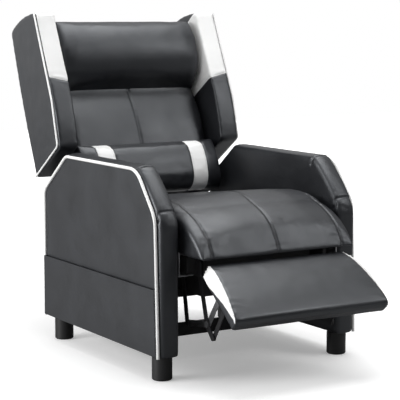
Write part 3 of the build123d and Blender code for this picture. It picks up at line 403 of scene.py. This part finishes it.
def pebble_grain():
    """Embossed pebbles of leatherette with fine pores, and a slow change of tone."""
    inputs = {"Pebbles per metre": 700.0, "Tone per metre": 9.0}
    tree, given, out = make_group("Leatherette pebbles", inputs, ["Height", "Tone"])
    where = add_node(tree, "TexCoord").outputs["Object"]
    pebbles = add_node(tree, "TexVoronoi", {"Vector": where, "Scale": given.outputs[0]}, feature="SMOOTH_F1")
    pores = add_node(tree, "TexNoise", {"Vector": where, "Scale": 2600.0, "Detail": 2.0})
    height = add_node(
        tree, "Math", {0: pebbles.outputs["Distance"], 1: -1.0, 2: 1.0}, operation="MULTIPLY_ADD"
    )
    rough = add_node(
        tree, "Math", {0: pores.outputs["Fac"], 1: 0.3, 2: height.outputs[0]}, operation="MULTIPLY_ADD"
    )
    tone = add_node(
        tree, "TexNoise", {"Vector": where, "Scale": given.outputs[1], "Detail": 4.0, "Roughness": 0.6}
    )
    spread = add_node(tree, "MapRange", {"Value": tone.outputs["Fac"], "From Min": 0.3, "From Max": 0.7})
    tree.links.new(rough.outputs[0], out.inputs["Height"])
    tree.links.new(spread.outputs[0], out.inputs["Tone"])
    return tree


def fine_wear():
    """Small scuffs and a mottled tone, for paint, steel and plastic."""
    tree, given, out = make_group("Fine wear", {"Size": 60.0, "Stretch": 1.0}, ["Mottle", "Scuff"])
    where = add_node(tree, "TexCoord").outputs["Object"]
    scale = add_node(tree, "CombineXYZ", {"X": 1.0, "Y": 1.0, "Z": given.outputs[1]})
    placed = add_node(tree, "Mapping", {"Vector": where, "Scale": scale.outputs[0]})
    mottle = add_node(
        tree, "TexNoise", {"Vector": placed.outputs[0], "Scale": given.outputs[0], "Detail": 5.0}
    )
    scuff = add_node(
        tree, "TexNoise", {"Vector": placed.outputs[0], "Scale": 420.0, "Detail": 6.0, "Roughness": 0.75}
    )
    mask = add_node(tree, "MapRange", {"Value": scuff.outputs["Fac"], "From Min": 0.58, "From Max": 0.75})
    tree.links.new(mottle.outputs["Fac"], out.inputs["Mottle"])
    tree.links.new(mask.outputs[0], out.inputs["Scuff"])
    return tree


PEBBLES = pebble_grain()
WEAR = fine_wear()


def new_finish(name):
    material = bpy.data.materials.new(name)
    material.use_nodes = True
    return material, material.node_tree, material.node_tree.nodes["Principled BSDF"]


def use_group(tree, group, **values):
    made = tree.nodes.new("ShaderNodeGroup")
    made.node_tree = group
    for key, value in values.items():
        made.inputs[key.replace("_", " ")].default_value = value
    return made


def blend_colour(tree, mask, first, second):
    mix = add_node(tree, "Mix", {"Factor": mask}, data_type="RGBA")
    for socket, colour in ((6, first), (7, second)):
        if isinstance(colour, bpy.types.NodeSocket):
            tree.links.new(colour, mix.inputs[socket])
        else:
            mix.inputs[socket].default_value = (*colour, 1)
    return mix.outputs[2]


def raise_surface(tree, shader, height, strength, distance):
    bump = add_node(tree, "Bump", {"Height": height, "Strength": strength, "Distance": distance})
    tree.links.new(bump.outputs[0], shader.inputs["Normal"])


def leatherette(name, darker, lighter, second=None):
    """Leatherette in one colour, or with white panels where the piece's own panel values are above zero."""
    material, tree, shader = new_finish(name)
    grain = use_group(tree, PEBBLES)
    colour = blend_colour(tree, grain.outputs["Tone"], darker, lighter)
    if second:
        panel = add_node(tree, "Attribute", attribute_name="panel")
        mask = add_node(
            tree, "Math", {0: panel.outputs["Fac"], 1: 1.2, 2: 0.5}, operation="MULTIPLY_ADD", use_clamp=True
        )
        other = blend_colour(tree, grain.outputs["Tone"], *second)
        colour = blend_colour(tree, mask.outputs[0], colour, other)
    tree.links.new(colour, shader.inputs["Base Color"])
    gloss = add_node(tree, "MapRange", {"Value": grain.outputs["Tone"], "To Min": 0.34, "To Max": 0.46})
    tree.links.new(gloss.outputs[0], shader.inputs["Roughness"])
    shader.inputs["Specular IOR Level"].default_value = 0.85
    shader.inputs["Specular Tint"].default_value = (0.92, 0.955, 1.0, 1)
    raise_surface(tree, shader, grain.outputs["Height"], 0.35, 0.0006)
    return material


def painted(name, darker, lighter, rough, metallic=0.0, size=60.0, stretch=1.0):
    """Paint, plated steel, wire or moulded plastic with a mottled, lightly scuffed surface."""
    material, tree, shader = new_finish(name)
    wear = use_group(tree, WEAR, Size=size, Stretch=stretch)
    mottled = blend_colour(tree, wear.outputs["Mottle"], darker, lighter)
    pale = tuple(min(1.0, tone * 1.6 + 0.01) for tone in lighter)
    tree.links.new(blend_colour(tree, wear.outputs["Scuff"], mottled, pale), shader.inputs["Base Color"])
    gloss = add_node(
        tree, "MapRange", {"Value": wear.outputs["Mottle"], "To Min": rough[0], "To Max": rough[1]}
    )
    tree.links.new(gloss.outputs[0], shader.inputs["Roughness"])
    shader.inputs["Metallic"].default_value = metallic
    raise_surface(tree, shader, wear.outputs["Mottle"], 0.15, 0.0004)
    return material


def plywood():
    """Black-stained board: long figure and fine open grain."""
    material, tree, shader = new_finish("Black-stained plywood")
    where = add_node(tree, "TexCoord").outputs["Object"]
    placed = add_node(tree, "Mapping", {"Vector": where, "Scale": (9.0, 1.4, 9.0)})
    rings = add_node(
        tree, "TexWave", {"Vector": placed.outputs[0], "Scale": 4.0, "Distortion": 6.0, "Detail": 3.0}
    )
    fine = add_node(tree, "TexNoise", {"Vector": placed.outputs[0], "Scale": 90.0, "Detail": 6.0})
    colour = blend_colour(tree, rings.outputs["Fac"], (0.012, 0.011, 0.01), (0.026, 0.023, 0.021))
    colour = blend_colour(tree, fine.outputs["Fac"], colour, (0.009, 0.008, 0.008))
    tree.links.new(colour, shader.inputs["Base Color"])
    shader.inputs["Roughness"].default_value = 0.75
    raise_surface(tree, shader, fine.outputs["Fac"], 0.3, 0.0005)
    return material


def woven_cover():
    """Black non-woven cover cloth: crossed threads and lint."""
    material, tree, shader = new_finish("Black cover cloth")
    where = add_node(tree, "TexCoord").outputs["Object"]
    threads = {"Vector": where, "Scale": 160.0, "Distortion": 1.5}
    warp = add_node(tree, "TexWave", threads, bands_direction="X")
    weft = add_node(tree, "TexWave", threads, bands_direction="Z")
    cross = add_node(tree, "Math", {0: warp.outputs["Fac"], 1: weft.outputs["Fac"]}, operation="MULTIPLY")
    lint = add_node(tree, "TexNoise", {"Vector": where, "Scale": 30.0, "Detail": 5.0})
    colour = blend_colour(tree, lint.outputs["Fac"], (0.008, 0.008, 0.009), (0.028, 0.028, 0.03))
    tree.links.new(colour, shader.inputs["Base Color"])
    shader.inputs["Roughness"].default_value = 0.85
    raise_surface(tree, shader, cross.outputs[0], 0.4, 0.0006)
    return material


BLACK = ((0.0078, 0.0083, 0.0102), (0.0132, 0.0141, 0.0172))
WHITE = ((0.9, 0.9, 0.89), (0.95, 0.95, 0.94))
black_leatherette = leatherette("Black leatherette", *BLACK)
white_leatherette = leatherette("White leatherette", *WHITE)
two_tone_leatherette = leatherette("Black leatherette with white panels", *BLACK, second=WHITE)
black_thread = painted("Black thread", (0.015, 0.015, 0.016), (0.04, 0.04, 0.042), (0.5, 0.7))
finishes = {
    "black_leatherette": black_leatherette,
    "white_leatherette": white_leatherette,
    "black_fabric": woven_cover(),
    "wood_board": plywood(),
    "black_steel": painted("Satin black steel", (0.012, 0.012, 0.013), (0.022, 0.022, 0.024), (0.35, 0.5)),
    "bright_steel": painted(
        "Zinc-plated steel", (0.42, 0.43, 0.45), (0.6, 0.6, 0.62), (0.28, 0.42), metallic=1.0, stretch=6.0
    ),
    "spring_steel": painted(
        "Oiled spring wire", (0.12, 0.12, 0.13), (0.22, 0.22, 0.23), (0.35, 0.5), metallic=1.0
    ),
    "leg_plastic": painted(
        "Moulded black plastic", (0.01, 0.01, 0.011), (0.018, 0.018, 0.019), (0.4, 0.55), size=240.0
    ),
}
for entry in frame["record"]["subparts"]:
    mesh = frame["nodes"][entry["node"]].data
    mesh.materials.clear()
    mesh.materials.append(finishes[entry["material_slot"]])


# Seat
seat = stuffed(
    "seat_cover", ["seat_cushion"], "base",
    [across(SEAT_SEAM, SEAT_MIDDLE_HEIGHT), across(0.0, SEAT_MIDDLE_HEIGHT)],
    room=((0.003, 0.004, 0.0), (0.003, 0.0, 0.008)), cap=0.009, fill=0.8,
)
seat.data.materials.append(black_leatherette)
SEAT_CENTRE = (ARM_FRONT + 0.27, SEAT_MIDDLE_HEIGHT)
SEAT_SWEEP = (12, 178)
for word, side in SIDES.items():
    stitches(
        f"seat_stitches_{word}", around(seat, side * STITCH_OFFSET, SEAT_CENTRE, *SEAT_SWEEP), "base",
        black_thread,
    )
    side_line = around(seat, side * SEAT_SEAM, SEAT_CENTRE, *SEAT_SWEEP)
    welt(f"seat_side_seam_{word}", side_line, "base", black_thread)
welt("seat_centre_seam", around(seat, 0.0, SEAT_CENTRE, *SEAT_SWEEP), "base", black_thread)

# Footrest
footrest = stuffed(
    "footrest_cover", ["footrest_pad", "footrest_gussets"], "footrest",
    [between("footrest_pad", "footrest_gussets", 0.012)], voxel=0.006, pressure=0, rounds=2, fill=0.8,
    depth=0.002, gather=0.0003, slack=0.0007,
)
# The white gusset: outside a line that widens down the pad, and in front of the pad's back
PAD_TOP = (0, ARM_FRONT - 0.084, 0.329)
PAD_LENGTH = 0.221
PAD_THICKNESS = ((0, 0.14, 0.4, 0.66, 0.92, 1), (0.004, 0.019, 0.034, 0.041, 0.041, 0.034))
pad_places = corners(footrest) - PAD_TOP
fall = radians(42.3)
down = -pad_places[:, 1] * cos(fall) - pad_places[:, 2] * sin(fall)
proud = pad_places[:, 2] * cos(fall) - pad_places[:, 1] * sin(fall)
share = np.clip((down + 0.007) / PAD_LENGTH, 0, 1)
inner_line = 0.226 + 0.032 * share
back_line = np.interp(share, *PAD_THICKNESS) - 0.024 * (1 - share)
write_panel(footrest, np.minimum(np.abs(pad_places[:, 0]) - inner_line, proud - back_line + 0.010) * 1000)
footrest.data.materials.append(two_tone_leatherette)

# Back: main cushion, head cushion and lumbar cushion
back = stuffed(
    "back_cover", ["back_cushion"], "backrest", [across(0.0)], cap=0.008, pressure=1.5,
    room=((0.0, 0.004, 0.004), (0.0, 0.0, 0.0)),
)
reach_down(back, 0.010)
back.data.materials.append(black_leatherette)
head = stuffed(
    "head_cover", ["head_cushion"], "backrest", cap=0.008,
    room=((0.002, 0.008, 0.008), (0.002, 0.0, 0.006)), fill=0.85,
)
tuck_under(head, 0.435, 0.37, 0.026)
head.data.materials.append(black_leatherette)
lumbar = stuffed(
    "lumbar_cover", ["lumbar_cushion"], "backrest", [across(edge) for edge in STRIPE_EDGES], cap=0.008,
    voxel=0.006, room=((0.002, 0.01, 0.002), (0.002, 0.0, 0.006)), fill=0.8, depth=0.0025,
)
reach_down(lumbar, 0.013)
lumbar_x = np.abs(corners(lumbar)[:, 0])
write_panel(lumbar, (STRIPE_HALF - np.abs(lumbar_x - STRIPE_MIDDLE)) * 1000)
lumbar.data.materials.append(two_tone_leatherette)

# Wings and arms
for word, side in SIDES.items():
    wing_nodes = [f"wing_{word}", f"wing_facing_{word}"]
    wing = stuffed(
        f"wing_cover_{word}", wing_nodes, "backrest", [wing_seam], pressure=0, rounds=7,
        fill=0.9, depth=0.0025, gather=0.0005, slack=0.0008,
    )
    write_panel(wing, wing_panel(corners(wing)) * 1000)
    wing.data.materials.append(two_tone_leatherette)

    arm_nodes = [f"arm_{part}_{word}" for part in ("core", "top_pad", "front_pad", "front_panel")]
    arm = stuffed(
        f"arm_cover_{word}", arm_nodes, "base",
        [between(arm_nodes[1], arm_nodes[2], 0.012), between(arm_nodes[2], arm_nodes[3], 0.012)],
        pressure=0, rounds=4, fill=0.9, depth=0.003, slack=0.0006,
    )
    places = corners(arm)
    normals = outward(arm)
    crown = 1 - ((np.abs(places[:, 0]) - ARM_MIDDLE) / ARM_HALF) ** 2
    padded_faces = np.clip(normals[:, 2] * 1.5, 0, 1) + 0.6 * np.clip(-normals[:, 1] * 1.5, 0, 1)
    places += normals * (ARM_CROWN * np.clip(crown, 0, 1) * padded_faces)[:, None]
    places[:, 0] = side * np.clip(np.abs(places[:, 0]), ARM_INNER, ARM_OUTER)
    place_corners(arm, places)
    arm.data.materials.append(black_leatherette)


# Floor, light and camera
def floor_finish():
    material, tree, shader = new_finish("Pale studio floor")
    path = add_node(tree, "LightPath")
    speck = add_node(tree, "TexNoise", {"Scale": 40.0, "Detail": 3.0})
    pale = blend_colour(tree, speck.outputs["Fac"], (0.86, 0.86, 0.86), (0.88, 0.88, 0.88))
    colour = blend_colour(tree, path.outputs["Is Camera Ray"], (0.3, 0.3, 0.3), pale)
    tree.links.new(colour, shader.inputs["Base Color"])
    shader.inputs["Roughness"].default_value = 0.9
    shader.inputs["Emission Color"].default_value = (1, 1, 1, 1)
    where = add_node(tree, "TexCoord").outputs["Object"]
    away = add_node(tree, "VectorMath", {0: where}, operation="LENGTH")
    spread = {"From Min": 0.7, "From Max": 2.4, "To Min": 0.3, "To Max": 1.0}
    fade = add_node(tree, "MapRange", {"Value": away.outputs["Value"], **spread}).outputs[0]
    lift = add_node(tree, "Math", {0: path.outputs["Is Camera Ray"], 1: fade}, operation="MULTIPLY")
    tree.links.new(lift.outputs[0], shader.inputs["Emission Strength"])
    return material


bpy.ops.object.select_all(action="DESELECT")
bpy.ops.mesh.primitive_plane_add(size=16, location=(0, 0, -0.0005))
floor = bpy.context.active_object
floor.name = "studio_floor"
bpy.ops.object.transform_apply(location=True)
floor.data.materials.append(floor_finish())

world = bpy.data.worlds.new("Soft studio")
scene.world = world
world.use_nodes = True
sky = world.node_tree
sky.nodes.clear()
facing = add_node(sky, "TexCoord").outputs["Generated"]
slope = add_node(sky, "VectorMath", {0: facing, 1: (-0.5, 0.62, 0.6)}, operation="DOT_PRODUCT")
spread = {"From Min": -0.35, "From Max": 0.75, "To Min": 0.05, "To Max": 0.82}
bright = add_node(sky, "MapRange", {"Value": slope.outputs["Value"], **spread})
soft = add_node(sky, "Background", {"Strength": bright.outputs[0]})
plain = add_node(sky, "Background", {"Color": (1, 1, 1, 1), "Strength": 1.0})
seen = add_node(sky, "LightPath").outputs["Is Camera Ray"]
choice = add_node(sky, "MixShader", {0: seen, 1: soft.outputs[0], 2: plain.outputs[0]})
soft.inputs["Color"].default_value = (1, 1, 1, 1)
result = sky.nodes.new("ShaderNodeOutputWorld")
sky.links.new(choice.outputs[0], result.inputs["Surface"])


def soft_lamp(name, place, aim, size, watts):
    lamp = bpy.data.lights.new(name, "AREA")
    lamp.shape = "SQUARE"
    lamp.size = size
    lamp.energy = watts
    holder = bpy.data.objects.new(name, lamp)
    scene.collection.objects.link(holder)
    holder.location = place
    holder.rotation_euler = (Vector(aim) - Vector(place)).to_track_quat("-Z", "Y").to_euler()


soft_lamp("Overhead soft box", (0.4, 0.0, 3.0), (0, 0, 0.4), 2.0, 50)
soft_lamp("Front right soft box", (2.0, -2.2, 2.5), (0, 0.2, 0.7), 1.6, 32)
soft_lamp("Left soft box", (-3.0, 0.5, 0.9), (0, 0, 0.5), 1.6, 62)

camera = bpy.data.cameras.new("Camera")
camera.lens = 129.4
camera.sensor_width = 36
viewer = bpy.data.objects.new("Camera", camera)
scene.collection.objects.link(viewer)
viewer.location = (-2.2884, -3.3703 + ARM_FRONT, 1.0136)
viewer.rotation_euler = (radians(82.7), 0, radians(-31.7))
scene.camera = viewer
scene.view_settings.view_transform = "Standard"
